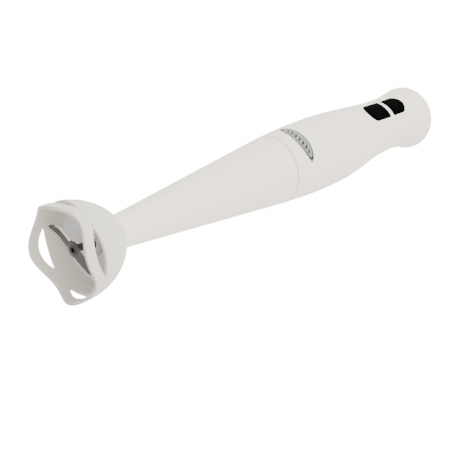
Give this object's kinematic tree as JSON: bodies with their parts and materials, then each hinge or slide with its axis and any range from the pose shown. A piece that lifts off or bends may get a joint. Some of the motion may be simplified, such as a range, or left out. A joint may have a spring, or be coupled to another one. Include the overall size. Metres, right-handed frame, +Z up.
{
  "type": "immersion blender",
  "caption": "Hand-held stick blender: motor handle with two push-buttons, twist-off tapered leg, and a slotted bell guard round a bladed drive shaft.",
  "frame": {"origin": "bottom centre of the blender as it lies on its back, under the middle of its length", "axes": "+X from the bell to the cord end, +Z up through the buttons, +Y to the left seen from the bell"},
  "size_m": [0.397, 0.062, 0.062],
  "materials": {
    "white_shell": "satin moulded",
    "bell_plastic": "satin moulded",
    "plate_plastic": "polished moulding",
    "grey_plastic": "moulded, unpolished",
    "gland_plastic": "soft matt",
    "button_black": "fine matt grain",
    "badge_silver": "satin foil with dark print",
    "blade_steel": "ground, edges polished",
    "shaft_steel": "drawn",
    "screw_steel": "zinc plated",
    "lamination_steel": "stacked sheet",
    "copper_wire": "varnished wire",
    "bronze": "sintered",
    "carbon": "pressed carbon",
    "seal_rubber": "matt",
    "coupling_black": "moulded nylon",
    "board_green": "lacquered laminate",
    "capacitor_yellow": "cast case"
  },
  "bodies": {
    "motor_unit": {"handle_housing": "white_shell", "end_cap": "white_shell", "cord_gland": "gland_plastic", "cord_clamp": "grey_plastic", "clamp_screws": "screw_steel", "badge": "badge_silver", "socket_ring": "grey_plastic", "ring_screws": "screw_steel", "chassis_left": "grey_plastic", "chassis_right": "grey_plastic", "lower_motor_bracket": "screw_steel", "upper_motor_bracket": "screw_steel", "lower_bearing": "bronze", "upper_bearing": "bronze", "lower_motor_mount": "seal_rubber", "upper_motor_mount": "seal_rubber", "stator_core": "lamination_steel", "field_coils": "copper_wire", "motor_bolts": "screw_steel", "brush_holders": "bronze", "carbon_brushes": "carbon", "brush_springs": "screw_steel", "switch_board": "board_green", "board_pins": "screw_steel", "low_switch": "coupling_black", "turbo_switch": "coupling_black", "low_button_springs": "screw_steel", "turbo_button_springs": "screw_steel", "capacitor": "capacitor_yellow", "diode": "coupling_black"},
    "rotor": {"motor_shaft": "shaft_steel", "rotor_core": "lamination_steel", "rotor_windings": "copper_wire", "commutator": "copper_wire", "cooling_fan": "coupling_black", "drive_coupling": "coupling_black"},
    "leg": {"bell_guard": "bell_plastic", "splash_plate": "plate_plastic", "leg_tube": "white_shell", "leg_collar": "grey_plastic", "lower_bushing": "bronze", "upper_bushing": "bronze", "shaft_seal": "seal_rubber", "seal_retainer": "plate_plastic"},
    "cutter": {"drive_shaft": "shaft_steel", "blade": "blade_steel", "driven_coupling": "shaft_steel", "shaft_clip": "shaft_steel"},
    "low_button": {"low_button": "button_black"},
    "turbo_button": {"turbo_button": "button_black"}
  },
  "joints": [
    {"name": "leg_twist", "type": "hinge", "parent": "motor_unit", "child": "leg", "pos_m": [-0.0025, 0, 0.031], "axis": [1, 0, 0], "range_deg": [0, 30]},
    {"name": "rotor_spin", "type": "hinge", "parent": "motor_unit", "child": "rotor", "pos_m": [0.0535, 0, 0.031], "axis": [1, 0, 0], "continuous": true},
    {"name": "cutter_spin", "type": "hinge", "parent": "motor_unit", "child": "cutter", "pos_m": [-0.0965, 0, 0.031], "axis": [1, 0, 0], "continuous": true},
    {"name": "low_press", "type": "slide", "parent": "motor_unit", "child": "low_button", "axis": [0, 0, -1], "range_m": [0, 0.0018], "stiffness_N_per_m": 350, "springref_m": -0.0015, "deforming": ["low_button_springs"]},
    {"name": "turbo_press", "type": "slide", "parent": "motor_unit", "child": "turbo_button", "axis": [0, 0, -1], "range_m": [0, 0.0018], "stiffness_N_per_m": 350, "springref_m": -0.0015, "deforming": ["turbo_button_springs"]}
  ],
  "couplings": [
    {"joint": "cutter_spin", "follows": "rotor_spin", "ratio": 1}
  ]
}
